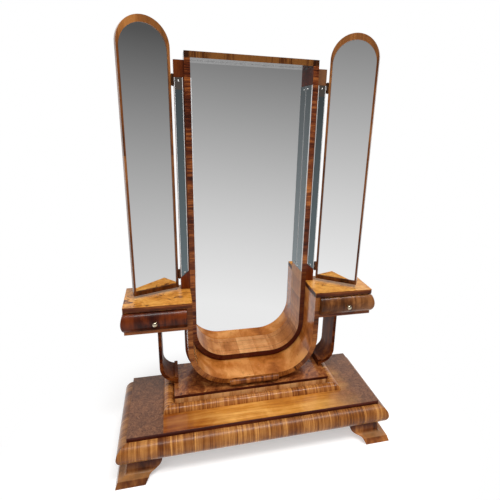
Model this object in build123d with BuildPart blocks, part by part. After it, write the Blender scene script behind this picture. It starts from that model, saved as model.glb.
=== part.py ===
"""Standing dressing mirror with two hinged side mirrors and two drawer cabinets.

Millimetres, +Z up. X runs across the object and is 0 on its middle plane, -Y is the front,
Z is 0 on the floor, and the origin is the middle of the bounding box in plan.
"""

import os
from math import cos, radians, sin, sqrt

from build123d import *

# Overall sizes
overall_height = 1800.0  # floor to the top of the side mirrors
plinth_width = 1130.0  # top panel of the plinth
plinth_depth = 402.0
fit_gap = 0.3  # between pieces that are let into each other
run_gap = 0.3  # between pieces that slide or swing past each other

# Feet: a splayed block under a hollow bracket
foot_height = 88.0
foot_block_height = 27.0
foot_reach = 52.0  # toe of the block beyond the edge of the plinth panel
foot_block_reach = 42.0  # top edge of the block
foot_block_width = 118.0
foot_bracket_width = 137.0  # measured inwards from the edge of the plinth panel
foot_lean = 15.0  # how far the inner end of the block leans
foot_neck = 2.0  # top of the bracket beyond the edge of the plinth panel
foot_shelf = 23.0  # inner edge of the block's sloping top, beyond the neck
foot_shelf_rise = 1.5
foot_cove = 11.5  # middle of the hollow, beyond the neck
foot_cove_rise = 6.5
foot_cove_top = 7.0
foot_cove_height = 21.0
foot_heel = 2.0  # small step between the block and the bracket
foot_heel_rise = 1.0
foot_curve = 15.5  # middle of the bracket's inner curve
foot_curve_rise = 19.0

# Plinth
plinth_carcass_height = 90.0
plinth_rail = 26.0
bullnose_reach = 41.0
panel_thickness = 20.5

# Step on the plinth
step_lead = 10.7  # front edge of the step before the ribbon
step_margin = 4.0  # beyond the feet of the supports
step_core_height = 36.0
step_panel_thickness = 15.0
half_round_radius = 25.25

# Main mirror frame, a deep box with a U-shaped lower end
frame_width = 557.8
side_rise = 104.5  # top of the side mirrors over the top of the frame
frame_board = 24.0
frame_radius = 169.0  # outer radius of the two lower corners
frame_depth = 89.7  # from the back of the plinth
frame_lift = 9.5  # over the floor of the ribbon
mirror_recess = 76.0  # front of the frame to the glass
mirror_thickness = 4.0
back_board_thickness = 8.0

# Ribbon, the bent board that carries frame and cabinets
ribbon_thickness = 23.5
ribbon_depth = 155.4  # from the front of the wings
pad_height = 24.0
pad_inset = 16.0
toe_width = 231.0
toe_height = 28.0
toe_reach = 12.5
toe_drop = 7.0  # under the floor of the ribbon

# Wings, the boards on both sides of the frame that carry the side mirrors
wing_thickness = 78.0  # from the back of the plinth
wing_reach = 41.1  # beyond the frame
wing_post_reach = 32.0  # below the cabinets
wing_drop = 32.7  # below the top of the frame
wing_post_radius = 182.0
wing_post_bend = 141.0  # height over the step at which the post starts to curve

# Glass strips on the wings and on the inner walls of the frame
strip_thickness = 3.2
strip_inset = 5.7  # from the frame to the strip
strip_edge = 1.7  # from the strip to the outer edge of the wing
strip_lift = 89.5  # inner corner of the strip over the cabinets
strip_slant = 30.1
strip_drop = 64.8  # under the top of the wing
lining_lift = 54.9  # over the cabinets
screw_radius = 1.5
screw_head_radius = 3.6
screw_head_height = 2.2
screw_head_round = 1.98
screw_length = 14.0
screw_edge = 13.0  # from the ends of a strip
low_screw_drop = 4.0  # of a wing's lower screw, beside the slanted end
lining_screw_depth = 51.0  # behind the front of the frame

# Cabinets
cabinet_top_level = 696.1
cabinet_width = 282.3
cabinet_depth = 206.4
cabinet_slab = 23.0
cabinet_floor = 14.0
cabinet_body_height = 88.0
cabinet_board = 10.0
cabinet_post = 27.5
side_bulge = 10.5
slab_overhang = 1.5

# Drawers
front_thickness = 20.0
front_bulge = 26.0
front_top_reach = 7.0
front_top_gap = 4.5
drawer_bottom_lift = 3.0
drawer_board = 8.0
drawer_bottom_board = 5.0
drawer_side_height = 66.0
drawer_back_gap = 6.0
knob_shift = 2.0  # outwards from the middle of the drawer front
knob_rise = 3.0  # over the middle of the drawer front
knob_radius = 10.0
knob_reach = 20.0
knob_head = 14.0
knob_neck_radius = 4.0
knob_foot = 2.0
knob_foot_radius = 6.5
knob_stem_radius = 3.0
knob_nut = 3.0
knob_stem_end = 3.0  # beyond the nut

# Supports under the outer ends of the cabinets, shaped like a J
support_reach = 128.1  # outer face beyond the ribbon
support_thickness = 15.0
support_back_gap = 22.4  # from the back of the plinth
support_depth = 133.0
support_radius = 80.0
support_foot_width = 16.0
support_foot_lap = 1.6  # inner face of the foot inside the start of the bend
support_foot_height = 36.0
support_lift = 11.0  # outer curve over the step

# Side mirrors
side_width = 201.0
side_clearance = 12.4  # over the cabinets
side_thickness = 21.0
side_stile = 9.0
side_crown = 25.0
side_bottom_rail = 18.0
side_lip = 5.0
side_rebate = 4.0
side_back_board = 10.0
rest_angle = {"left": 20.6, "right": 36.0}  # forward of the plane of the main mirror

# Hinges of the side mirrors
pivot_reach = 5.0  # from the outer edge of the wing to the pin's axis
pivot_lead = 6.0  # pin's axis before the front of the wing
edge_offset = 3.3  # pin axis to the side mirror's inner edge
face_offset = 4.8  # pin axis to the side mirror's front
knuckle_radius = 4.5
pin_radius = 2.0
pin_gap = 0.05
pin_tip_radius = 3.2
pin_tip_height = 2.0
leaf_thickness = 1.6
leaf_web = 1.92  # from the fixed leaf to its knuckles
leaf_depth = 28.0
hinge_height = 42.0
hinge_screw_spacing = 24.0
low_hinge_lift = 77.9  # over the cabinets
high_hinge_drop = 74.8  # under the top of the wing

# Levels and planes that follow from the sizes
SIDES = {"left": -1, "right": 1}
half_plinth = plinth_width / 2
half_frame = frame_width / 2
panel_y = foot_reach - (plinth_depth + foot_reach) / 2
back_y = panel_y + plinth_depth
panel_z = foot_height + plinth_carcass_height
plinth_top_z = panel_z + panel_thickness
wing_y = back_y - wing_thickness
ribbon_y = wing_y - ribbon_depth
step_y = ribbon_y - step_lead
step_panel_z = plinth_top_z + step_core_height
step_top_z = step_panel_z + step_panel_thickness
ribbon_z = step_top_z + pad_height
ribbon_floor_z = ribbon_z + ribbon_thickness
ribbon_half = half_frame + fit_gap
ribbon_radius = frame_radius + fit_gap
frame_y = back_y - frame_depth
frame_z = ribbon_floor_z + frame_lift
frame_top_z = overall_height - side_rise
mirror_y = frame_y + mirror_recess
wing_half = half_frame + wing_reach
wing_top_z = frame_top_z - wing_drop
strip_width = wing_reach - strip_inset - strip_edge
strip_bottom = cabinet_top_level + strip_lift
strip_top = wing_top_z - strip_drop
lining_bottom = cabinet_top_level + lining_lift
slab_z = cabinet_top_level - cabinet_slab
cabinet_floor_z = slab_z - cabinet_body_height
cabinet_z = cabinet_floor_z - cabinet_floor
cabinet_outer = ribbon_half + cabinet_width
cabinet_back_y = ribbon_y + cabinet_depth
cabinet_inner = ribbon_half + ribbon_thickness
carcass_y = ribbon_y + front_thickness + run_gap
drawer_inner = cabinet_inner + cabinet_post
drawer_outer = cabinet_outer - slab_overhang - cabinet_board
support_outer = cabinet_inner + support_reach
support_centre = support_outer - support_radius
support_foot_x = support_centre - support_foot_lap
half_step = support_foot_x + support_foot_width + step_margin
pivot_x = wing_half + pivot_reach
pivot_y = wing_y - pivot_lead
hinge_levels = (cabinet_top_level + low_hinge_lift, wing_top_z - high_hinge_drop)
side_bottom_z = cabinet_top_level + side_clearance


def save(piece, name):
    """Label a finished piece and write it as its own file."""
    piece.part.label = name
    export_step(piece.part, f"parts/{name}.step")


def block(x0, x1, y0, y1, z0, z1):
    """A board between two corners."""
    with BuildPart() as board:
        with BuildSketch(Plane.XY.offset(z0)):
            with Locations(((x0 + x1) / 2, (y0 + y1) / 2)):
                Rectangle(abs(x1 - x0), abs(y1 - y0))
        extrude(amount=z1 - z0)
    return board


def foot_outline(edge, inward):
    """Front view of a foot; the panel's edge is at edge, and inward is -1 or 1."""
    heel_reach = foot_reach - foot_block_width - foot_lean
    bracket_end = (-foot_bracket_width, foot_height)
    bracket_middle = (-foot_bracket_width + foot_curve, foot_block_height + foot_curve_rise)
    heel = (heel_reach - foot_heel, foot_block_height + foot_heel_rise)
    shelf = (foot_neck + foot_shelf, foot_block_height + foot_shelf_rise)
    cove = (foot_neck + foot_cove, foot_block_height + foot_cove_rise)
    cove_top = (foot_neck + foot_cove_top, foot_block_height + foot_cove_height)
    neck = (foot_neck, foot_height)

    def at(*places):
        return [(edge - inward * reach, level) for reach, level in places]

    with BuildLine() as outline:
        Polyline(*at(neck, bracket_end))
        ThreePointArc(*at(bracket_end, bracket_middle, heel))
        Polyline(
            *at(
                heel,
                (heel_reach, foot_block_height),
                (foot_reach - foot_block_width, 0),
                (foot_reach, 0),
                (foot_block_reach, foot_block_height),
                shelf,
            )
        )
        ThreePointArc(*at(shelf, cove, cove_top))
        Line(*at(cove_top, neck))
    make_face(outline.edges())


def foot(side, rear):
    """A bracket foot: its front and side outlines meet in a mitre at the outer corner."""
    edge = side * half_plinth
    with BuildPart() as piece:
        with BuildSketch(Plane.XZ.offset(-back_y)):
            foot_outline(edge, -side)
        extrude(amount=plinth_depth + foot_reach)
        if rear:
            with BuildSketch(Plane.YZ.offset(-half_plinth - foot_reach)):
                with Locations((back_y - foot_bracket_width / 2, foot_height / 2)):
                    Rectangle(foot_bracket_width, foot_height)
            extrude(amount=plinth_width + 2 * foot_reach, mode=Mode.INTERSECT)
        else:
            with BuildSketch(Plane.YZ.offset(-half_plinth - foot_reach)):
                foot_outline(panel_y, 1)
            extrude(amount=plinth_width + 2 * foot_reach, mode=Mode.INTERSECT)
    return piece


def bullnose_profile(edge, outward):
    """Half ellipse on the side of the plinth carcass."""
    middle = foot_height + plinth_carcass_height / 2
    with BuildLine() as outline:
        Line((edge, foot_height), (edge, panel_z))
        EllipticalCenterArc(
            (edge, middle),
            bullnose_reach,
            plinth_carcass_height / 2,
            start_angle=-90 if outward > 0 else 90,
            arc_size=180,
        )
    make_face(outline.edges())


def half_round_profile(edge, outward):
    """Half round that lies on the plinth against the step."""
    with BuildLine() as outline:
        Line((edge, plinth_top_z), (edge + outward * 2 * half_round_radius, plinth_top_z))
        ThreePointArc(
            (edge, plinth_top_z),
            (edge + outward * half_round_radius, plinth_top_z + half_round_radius),
            (edge + outward * 2 * half_round_radius, plinth_top_z),
        )
    make_face(outline.edges())


def front_moulding(profile, half_width, edge_y, reach):
    """A moulding along the front edge, mitred at both ends."""
    with BuildPart() as piece:
        with BuildSketch(Plane.YZ.offset(-half_width - reach)):
            profile(edge_y, -1)
        extrude(amount=2 * (half_width + reach))
        with BuildSketch(Plane.XY):
            with BuildLine():
                Polyline(
                    (-half_width, edge_y),
                    (-half_width - reach, edge_y - reach),
                    (half_width + reach, edge_y - reach),
                    (half_width, edge_y),
                    close=True,
                )
            make_face()
        extrude(amount=step_top_z, mode=Mode.INTERSECT)
    return piece


def side_moulding(profile, side, half_width, edge_y, reach):
    """A moulding along one side edge, mitred at the front and cut square at the back."""
    with BuildPart() as piece:
        with BuildSketch(Plane.XZ.offset(-back_y)):
            profile(side * half_width, side)
        extrude(amount=back_y - edge_y + reach)
        with BuildSketch(Plane.XY):
            with BuildLine():
                Polyline(
                    (side * half_width, edge_y),
                    (side * (half_width + reach), edge_y - reach),
                    (side * (half_width + reach), back_y),
                    (side * half_width, back_y),
                    close=True,
                )
            make_face()
        extrude(amount=step_top_z, mode=Mode.INTERSECT)
    return piece


def u_board(half, low, high, radius, thickness, y0, y1):
    """A board bent to a U, given by its inner half width, inner floor and inner radius."""
    with BuildPart() as piece:
        with BuildSketch(Plane.XZ.offset(-y1)) as outer:
            with Locations((0, (low - thickness + high) / 2)):
                Rectangle(2 * (half + thickness), high - low + thickness)
            fillet(outer.vertices().group_by(Axis.Y)[0], radius + thickness)
        extrude(amount=y1 - y0)
        with BuildSketch(Plane.XZ.offset(-y1)) as inner:
            with Locations((0, (low + high) / 2)):
                Rectangle(2 * half, high - low)
            fillet(inner.vertices().group_by(Axis.Y)[0], radius)
        extrude(amount=y1 - y0, mode=Mode.SUBTRACT)
    return piece


def u_panel(half, low, high, radius, y0, y1):
    """A flat panel whose two lower corners are rounded."""
    with BuildPart() as piece:
        with BuildSketch(Plane.XZ.offset(-y1)) as outline:
            with Locations((0, (low + high) / 2)):
                Rectangle(2 * half, high - low)
            fillet(outline.vertices().group_by(Axis.Y)[0], radius)
        extrude(amount=y1 - y0)
    return piece


def screw(place):
    """A round-headed screw whose head stands on the plane place, shank into it."""
    with BuildPart() as piece:
        with BuildSketch(place):
            Circle(screw_head_radius)
        extrude(amount=screw_head_height)
        crown = piece.faces().sort_by(Axis(place.origin, place.z_dir))[-1]
        fillet(crown.edges(), screw_head_round)
        with BuildSketch(place):
            Circle(screw_radius)
        extrude(amount=-screw_length)
    return piece


def screw_hole(place):
    """The hole of a screw in the wood or glass that it passes."""
    with BuildSketch(place.offset(screw_length)) as hole:
        Circle(screw_radius + pin_gap)
    extrude(hole.sketch, amount=-2 * screw_length - run_gap, mode=Mode.SUBTRACT)


def strip_screw_places(side):
    """Planes on the face of a wing's glass strip, at its two screws."""
    middle = half_frame + strip_inset + strip_width / 2
    low = strip_bottom - strip_slant / 2 + screw_edge - low_screw_drop
    face_y = wing_y - strip_thickness
    levels = (low, strip_top - screw_edge)
    return [Plane((side * middle, face_y, level), z_dir=(0, -1, 0)) for level in levels]


def lining_screw_places(side):
    """Planes on the face of the strip on the frame's inner wall, at its two screws."""
    wall = half_frame - frame_board - strip_thickness
    levels = (lining_bottom + screw_edge, strip_top - screw_edge)
    depth = frame_y + lining_screw_depth
    return [Plane((side * wall, depth, level), z_dir=(-side, 0, 0)) for level in levels]


def wing(side):
    """A wing: the board beside the frame, and below it the post that curves to the step."""
    post = half_frame + wing_post_reach
    bend_z = step_top_z + wing_post_bend
    foot_x = post - wing_post_radius + sqrt(wing_post_radius**2 - wing_post_bend**2)
    middle_x = post - wing_post_radius + sqrt(wing_post_radius**2 - (wing_post_bend / 2) ** 2)
    seat_radius = frame_radius + fit_gap
    seat_x = half_frame - frame_radius
    seat_z = frame_z + frame_radius
    with BuildPart() as piece:
        with BuildSketch(Plane.XZ.offset(-back_y)):
            with BuildLine():
                Line((0, step_top_z), (side * foot_x, step_top_z))
                ThreePointArc(
                    (side * foot_x, step_top_z),
                    (side * middle_x, bend_z - wing_post_bend / 2),
                    (side * post, bend_z),
                )
                Polyline(
                    (side * post, bend_z),
                    (side * post, cabinet_z),
                    (side * wing_half, cabinet_z),
                    (side * wing_half, wing_top_z),
                    (side * (half_frame + fit_gap), wing_top_z),
                    (side * (half_frame + fit_gap), seat_z),
                )
                ThreePointArc(
                    (side * (seat_x + seat_radius), seat_z),
                    (side * (seat_x + seat_radius * sqrt(0.5)), seat_z - seat_radius * sqrt(0.5)),
                    (side * seat_x, seat_z - seat_radius),
                )
                Polyline(
                    (side * seat_x, seat_z - seat_radius),
                    (0, seat_z - seat_radius),
                    (0, step_top_z),
                )
            make_face()
        extrude(amount=back_y - wing_y)
        for place in strip_screw_places(side):
            screw_hole(place)
        for level in hinge_levels:
            for place in hinge_screw_places(side, level):
                screw_hole(place)
    return piece


def glass_strip(side):
    """The narrow mirror glass on the front of a wing, cut at a slant below."""
    inner = half_frame + strip_inset
    outer = inner + strip_width
    with BuildPart() as piece:
        with BuildSketch(Plane.XZ.offset(-wing_y)):
            with BuildLine():
                Polyline(
                    (side * inner, strip_bottom),
                    (side * outer, strip_bottom - strip_slant),
                    (side * outer, strip_top),
                    (side * inner, strip_top),
                    close=True,
                )
            make_face()
        extrude(amount=strip_thickness)
        for place in strip_screw_places(side):
            screw_hole(place)
    return piece


def lining_strip(side):
    """The narrow mirror glass on an inner wall of the frame."""
    wall = half_frame - frame_board
    with BuildPart() as piece:
        with BuildSketch(Plane.XY.offset(lining_bottom)):
            with Locations((side * (wall - strip_thickness / 2), frame_y + mirror_recess / 2)):
                Rectangle(strip_thickness, mirror_recess - 2 * fit_gap)
        extrude(amount=strip_top - lining_bottom)
        for place in lining_screw_places(side):
            screw_hole(place)
    return piece


def cabinet_slab_piece(side, x0, x1, z0, z1):
    """A slab of a cabinet, cut out at the back for the wing."""
    with BuildPart() as piece:
        with BuildSketch(Plane.XY.offset(z0)):
            with Locations((side * (x0 + x1) / 2, (ribbon_y + cabinet_back_y) / 2)):
                Rectangle(x1 - x0, cabinet_depth)
            with Locations((side * (wing_half + fit_gap) / 2, (wing_y + back_y) / 2)):
                Rectangle(wing_half + fit_gap, back_y - wing_y + 2 * fit_gap, mode=Mode.SUBTRACT)
        extrude(amount=z1 - z0)
    return piece


def pillow_outline(side, inner):
    """Front view of a cabinet between its slabs; the outer side swells like a pillow."""
    outer = cabinet_outer - slab_overhang
    with BuildLine() as outline:
        Polyline(
            (side * outer, cabinet_floor_z),
            (side * inner, cabinet_floor_z),
            (side * inner, slab_z),
            (side * outer, slab_z),
        )
        ThreePointArc(
            (side * outer, slab_z),
            (side * (outer + side_bulge), (slab_z + cabinet_floor_z) / 2),
            (side * outer, cabinet_floor_z),
        )
    make_face(outline.edges())


def cabinet_outer_side(side):
    """The outer side of a cabinet, swelling outwards."""
    with BuildPart() as piece:
        with BuildSketch(Plane.XZ.offset(-cabinet_back_y)):
            pillow_outline(side, drawer_outer)
        extrude(amount=cabinet_back_y - carcass_y)
    return piece


def cabinet_inner_side(side):
    """The inner side of a cabinet: a post beside the ribbon, thinner beside the wing."""
    with BuildPart() as piece:
        with BuildSketch(Plane.XY.offset(cabinet_floor_z)):
            middle = (side * (cabinet_inner + drawer_inner) / 2, (carcass_y + cabinet_back_y) / 2)
            with Locations(middle):
                Rectangle(cabinet_post, cabinet_back_y - carcass_y)
            with Locations((side * (wing_half + fit_gap) / 2, (wing_y + back_y) / 2)):
                Rectangle(wing_half + fit_gap, back_y - wing_y + 2 * fit_gap, mode=Mode.SUBTRACT)
        extrude(amount=cabinet_body_height)
    return piece


def drawer_levels():
    """Underside and top of a drawer front."""
    return cabinet_floor_z + run_gap, slab_z - front_top_gap


def knob_level():
    """Height of the knob, where the drawer front swells most."""
    low, high = drawer_levels()
    return (low + high) / 2 + knob_rise


def knob_place(side):
    """Plane on the swelling of the drawer front where the knob stands."""
    middle = (cabinet_inner + cabinet_outer) / 2 + knob_shift
    front_y = ribbon_y - front_bulge - pin_gap
    return Plane((side * middle, front_y, knob_level()), z_dir=(0, -1, 0))


def drawer_front(side):
    """The drawer front: a cushion shape that turns the outer corner in a mitre."""
    low, high = drawer_levels()
    with BuildPart() as piece:
        with BuildSketch(Plane.YZ):
            with BuildLine():
                Polyline(
                    (ribbon_y, low),
                    (ribbon_y + front_thickness, low),
                    (ribbon_y + front_thickness, high),
                    (ribbon_y - front_top_reach, high),
                )
                ThreePointArc(
                    (ribbon_y - front_top_reach, high),
                    (ribbon_y - front_bulge, knob_level()),
                    (ribbon_y, low),
                )
            make_face()
        extrude(amount=side * (cabinet_outer + 2 * side_bulge))
        with BuildSketch(Plane.XZ.offset(-back_y)):
            pillow_outline(side, cabinet_inner + fit_gap)
        extrude(amount=plinth_depth, mode=Mode.INTERSECT)
        with BuildSketch(knob_place(side).offset(front_bulge)):
            Circle(knob_stem_radius + pin_gap)
        extrude(amount=-3 * front_bulge, mode=Mode.SUBTRACT)
    return piece


def knob(side):
    """A turned knob on a stem that passes the drawer front and ends in a nut."""
    place = knob_place(side)
    nut_depth = front_bulge + front_thickness + 2 * pin_gap
    with BuildPart() as piece:
        with BuildSketch(Plane(place.origin, x_dir=(1, 0, 0), z_dir=(0, 0, 1))):
            with Locations((0, -knob_reach + knob_head / 2)):
                Ellipse(knob_radius, knob_head / 2)
            with Locations((0, -knob_reach / 4)):
                Rectangle(2 * knob_neck_radius, knob_reach / 2)
            with Locations((0, -knob_foot / 2)):
                Rectangle(2 * knob_foot_radius, knob_foot)
            with Locations((knob_reach, 0)):
                Rectangle(2 * knob_reach, 4 * knob_reach, mode=Mode.INTERSECT)
        revolve(axis=Axis(place.origin, (0, 1, 0)))
        with BuildSketch(place):
            Circle(knob_stem_radius)
        extrude(amount=-nut_depth - knob_nut - knob_stem_end)
        with BuildSketch(place.offset(-nut_depth)):
            RegularPolygon(knob_foot_radius, 6)
        extrude(amount=-knob_nut)
    return piece


def drawer_sides(side):
    """The two sides of a drawer."""
    low, _ = drawer_levels()
    y0 = ribbon_y + front_thickness
    y1 = cabinet_back_y - cabinet_board - drawer_back_gap
    with BuildPart() as piece:
        with BuildSketch(Plane.XY.offset(low)):
            for inner in (drawer_inner + run_gap, drawer_outer - run_gap - drawer_board):
                with Locations((side * (inner + drawer_board / 2), (y0 + y1) / 2)):
                    Rectangle(drawer_board, y1 - y0)
        extrude(amount=drawer_side_height)
    return piece


def drawer_inside():
    """Inner faces of a drawer's sides, and its length behind the front."""
    x0 = drawer_inner + run_gap + drawer_board
    x1 = drawer_outer - run_gap - drawer_board
    y0 = ribbon_y + front_thickness
    y1 = cabinet_back_y - cabinet_board - drawer_back_gap
    return x0, x1, y0, y1


def support(side):
    """A bent board under the outer end of a cabinet, standing on the step by a block."""
    level = step_top_z + support_lift
    bend_z = level + support_radius
    inner_radius = support_radius - support_thickness
    inner_bend = inner_radius * sqrt(0.5)
    outer_bend = support_radius * sqrt(0.5)
    back = back_y - support_back_gap
    with BuildPart() as piece:
        with BuildSketch(Plane.XZ.offset(-back)):
            with BuildLine():
                Polyline(
                    (side * support_centre, level),
                    (side * support_foot_x, level),
                    (side * support_foot_x, level + support_thickness),
                    (side * support_centre, level + support_thickness),
                )
                ThreePointArc(
                    (side * support_centre, level + support_thickness),
                    (side * (support_centre + inner_bend), bend_z - inner_bend),
                    (side * (support_centre + inner_radius), bend_z),
                )
                Polyline(
                    (side * (support_centre + inner_radius), bend_z),
                    (side * (support_centre + inner_radius), cabinet_z),
                    (side * support_outer, cabinet_z),
                    (side * support_outer, bend_z),
                )
                ThreePointArc(
                    (side * support_outer, bend_z),
                    (side * (support_centre + outer_bend), bend_z - outer_bend),
                    (side * support_centre, level),
                )
            make_face()
            foot_x = side * (support_foot_x + support_foot_width / 2)
            with Locations((foot_x, step_top_z + support_foot_height / 2)):
                Rectangle(support_foot_width, support_foot_height)
        extrude(amount=support_depth)
    return piece


def side_plane(side, angle):
    """Plane of a side mirror: origin on the pin's axis, normal out of the glass, Y up."""
    turn = radians(angle)
    return Plane(
        (side * pivot_x, pivot_y, 0),
        x_dir=(cos(turn), -side * sin(turn), 0),
        z_dir=(-side * sin(turn), -cos(turn), 0),
    )


def arched_face(side, inset, low, top):
    """Outline of a side mirror, inset on both sides, with a half-round top."""
    radius = side_width / 2 - inset
    middle = side * (edge_offset + side_width / 2)
    spring = top - radius
    with BuildLine() as outline:
        Polyline(
            (middle - radius, spring),
            (middle - radius, low),
            (middle + radius, low),
            (middle + radius, spring),
        )
        ThreePointArc((middle + radius, spring), (middle, top), (middle - radius, spring))
    make_face(outline.edges())


def side_frame(side, plane):
    """The arched frame of a side mirror, rebated at the back for glass and board."""
    back = plane.offset(-face_offset - side_thickness)
    with BuildPart() as piece:
        with BuildSketch(back):
            arched_face(side, 0, side_bottom_z, overall_height)
        extrude(amount=side_thickness)
        with BuildSketch(back):
            arched_face(side, side_stile, side_bottom_z + side_bottom_rail, overall_height - side_crown)
        extrude(amount=side_thickness, mode=Mode.SUBTRACT)
        with BuildSketch(back):
            arched_face(
                side,
                side_stile - side_rebate,
                side_bottom_z + side_bottom_rail - side_rebate,
                overall_height - side_crown + side_rebate,
            )
        extrude(amount=side_thickness - side_lip, mode=Mode.SUBTRACT)
    return piece


def side_panel(side, plane, depth, thickness):
    """Glass or back board in the rebate of a side mirror, its front depth behind the frame's."""
    with BuildPart() as piece:
        with BuildSketch(plane.offset(-face_offset - depth - thickness)):
            arched_face(
                side,
                side_stile - side_rebate + fit_gap,
                side_bottom_z + side_bottom_rail - side_rebate + fit_gap,
                overall_height - side_crown + side_rebate - fit_gap,
            )
        extrude(amount=thickness)
    return piece


def knuckle_levels(level):
    """Heights of the joints between the three knuckles of a hinge."""
    third = hinge_height / 3
    return [level - hinge_height / 2 + third * count for count in range(4)]


def hinge_screw_places(side, level):
    """Planes on a fixed leaf at its two screws."""
    x = side * (wing_half + leaf_thickness)
    y = wing_y + leaf_depth / 2
    shifts = (-hinge_screw_spacing / 2, hinge_screw_spacing / 2)
    return [Plane((x, y, level + shift), z_dir=(side, 0, 0)) for shift in shifts]


def fixed_leaves(side):
    """The leaves on the outer edge of a wing, each with its two outer knuckles."""
    with BuildPart() as piece:
        for level in hinge_levels:
            heights = knuckle_levels(level)
            with BuildSketch(Plane.XY.offset(heights[0])):
                leaf_x = side * (wing_half + leaf_thickness / 2)
                with Locations((leaf_x, (pivot_y + wing_y + leaf_depth) / 2)):
                    Rectangle(leaf_thickness, wing_y + leaf_depth - pivot_y)
                with Locations((side * (wing_half + pivot_x) / 2, pivot_y)):
                    Rectangle(pivot_x - wing_half, leaf_web)
                with Locations((side * pivot_x, pivot_y)):
                    Circle(knuckle_radius)
            extrude(amount=hinge_height)
            with BuildSketch(Plane.XY.offset(heights[1] - run_gap / 2)):
                with Locations((side * pivot_x, pivot_y)):
                    Circle(knuckle_radius + leaf_thickness)
            extrude(amount=heights[2] - heights[1] + run_gap, mode=Mode.SUBTRACT)
            with BuildSketch(Plane.XY.offset(heights[0])):
                with Locations((side * pivot_x, pivot_y)):
                    Circle(pin_radius + pin_gap)
            extrude(amount=hinge_height, mode=Mode.SUBTRACT)
            for place in hinge_screw_places(side, level):
                screw_hole(place)
    return piece


def moving_leaves(side, plane):
    """The leaves on the inner edge of a side mirror, each with its middle knuckle."""
    edge = edge_offset - leaf_thickness / 2
    depth = face_offset + side_thickness
    with BuildPart() as piece:
        for level in hinge_levels:
            heights = knuckle_levels(level)
            low = plane.origin + Vector(0, 0, heights[0])
            third = plane.origin + Vector(0, 0, heights[1] + run_gap / 2)
            flat = Plane(low, x_dir=plane.x_dir, z_dir=(0, 0, 1))
            middle = Plane(third, x_dir=plane.x_dir, z_dir=(0, 0, 1))
            with BuildSketch(flat):
                with Locations((side * edge, depth / 2)):
                    Rectangle(leaf_thickness, depth)
            extrude(amount=hinge_height)
            with BuildSketch(flat):
                Circle(knuckle_radius + leaf_thickness)
            extrude(amount=hinge_height, mode=Mode.SUBTRACT)
            with BuildSketch(middle):
                Circle(knuckle_radius)
                with Locations((side * edge, (knuckle_radius + leaf_thickness) / 2)):
                    Rectangle(leaf_thickness, knuckle_radius + leaf_thickness)
            extrude(amount=heights[2] - heights[1] - run_gap)
            with BuildSketch(flat):
                Circle(pin_radius + pin_gap)
            extrude(amount=hinge_height, mode=Mode.SUBTRACT)
    return piece


def build_plinth():
    """Feet, carcass, mouldings and top panel of the plinth."""
    for name, side in SIDES.items():
        save(foot(side, rear=False), f"foot_front_{name}")
        save(foot(side, rear=True), f"foot_rear_{name}")
        moulding = side_moulding(bullnose_profile, side, half_plinth, panel_y, bullnose_reach)
        save(moulding, f"plinth_moulding_{name}")
    for name, rail_y in (("front", panel_y), ("back", back_y - plinth_rail)):
        rail = block(-half_plinth, half_plinth, rail_y, rail_y + plinth_rail, foot_height, panel_z)
        save(rail, f"plinth_{name}_rail")
    with BuildPart() as ends:
        with BuildSketch(Plane.XY.offset(foot_height)):
            for side in SIDES.values():
                with Locations((side * (half_plinth - plinth_rail / 2), (panel_y + back_y) / 2)):
                    Rectangle(plinth_rail, plinth_depth - 2 * plinth_rail)
        extrude(amount=plinth_carcass_height)
    save(ends, "plinth_ends")
    front = front_moulding(bullnose_profile, half_plinth, panel_y, bullnose_reach)
    save(front, "plinth_moulding_front")
    save(block(-half_plinth, half_plinth, panel_y, back_y, panel_z, plinth_top_z), "plinth_top")


def build_step():
    """The step on the plinth with its half-round mouldings."""
    save(block(-half_step, half_step, step_y, back_y, plinth_top_z, step_panel_z), "step_core")
    save(block(-half_step, half_step, step_y, back_y, step_panel_z, step_top_z), "step_top")
    reach = 2 * half_round_radius
    save(front_moulding(half_round_profile, half_step, step_y, reach), "step_moulding_front")
    for name, side in SIDES.items():
        save(side_moulding(half_round_profile, side, half_step, step_y, reach), f"step_moulding_{name}")


def build_ribbon():
    """Ribbon, its pad on the step and the toe moulding on its front edge."""
    half_pad = ribbon_half - ribbon_radius
    pad = block(-half_pad, half_pad, ribbon_y + pad_inset, wing_y, step_top_z, ribbon_z)
    save(pad, "base_pad")
    outline = (ribbon_half, ribbon_floor_z, slab_z, ribbon_radius)
    save(u_board(*outline, ribbon_thickness, ribbon_y, wing_y), "ribbon")
    toe_low = ribbon_floor_z - toe_drop - toe_height
    with BuildPart() as toe:
        with BuildSketch(Plane.YZ.offset(-toe_width / 2)):
            with BuildLine():
                Line((ribbon_y, toe_low), (ribbon_y, toe_low + toe_height))
                ThreePointArc(
                    (ribbon_y, toe_low + toe_height),
                    (ribbon_y - toe_reach, toe_low + toe_height / 2),
                    (ribbon_y, toe_low),
                )
            make_face()
        extrude(amount=toe_width)
    save(toe, "toe_moulding")


def build_main_mirror():
    """Frame, glass and back board of the main mirror."""
    inner_half = half_frame - frame_board
    inner_low = frame_z + frame_board
    inner_high = frame_top_z - frame_board
    inner_radius = frame_radius - frame_board
    inside = (inner_half, inner_low, inner_high, inner_radius)
    with BuildPart() as frame:
        add(u_board(*inside, frame_board, frame_y, back_y).part)
        for side in SIDES.values():
            for place in lining_screw_places(side):
                screw_hole(place)
    save(frame, "frame_u")
    rail = block(-half_frame, half_frame, frame_y, back_y, inner_high, frame_top_z)
    save(rail, "frame_top_rail")
    outline = (
        inner_half - fit_gap,
        inner_low + fit_gap,
        inner_high - fit_gap,
        inner_radius - fit_gap,
    )
    board_y = mirror_y + mirror_thickness
    save(u_panel(*outline, mirror_y, board_y), "main_mirror")
    save(u_panel(*outline, board_y, board_y + back_board_thickness), "back_board")


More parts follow.
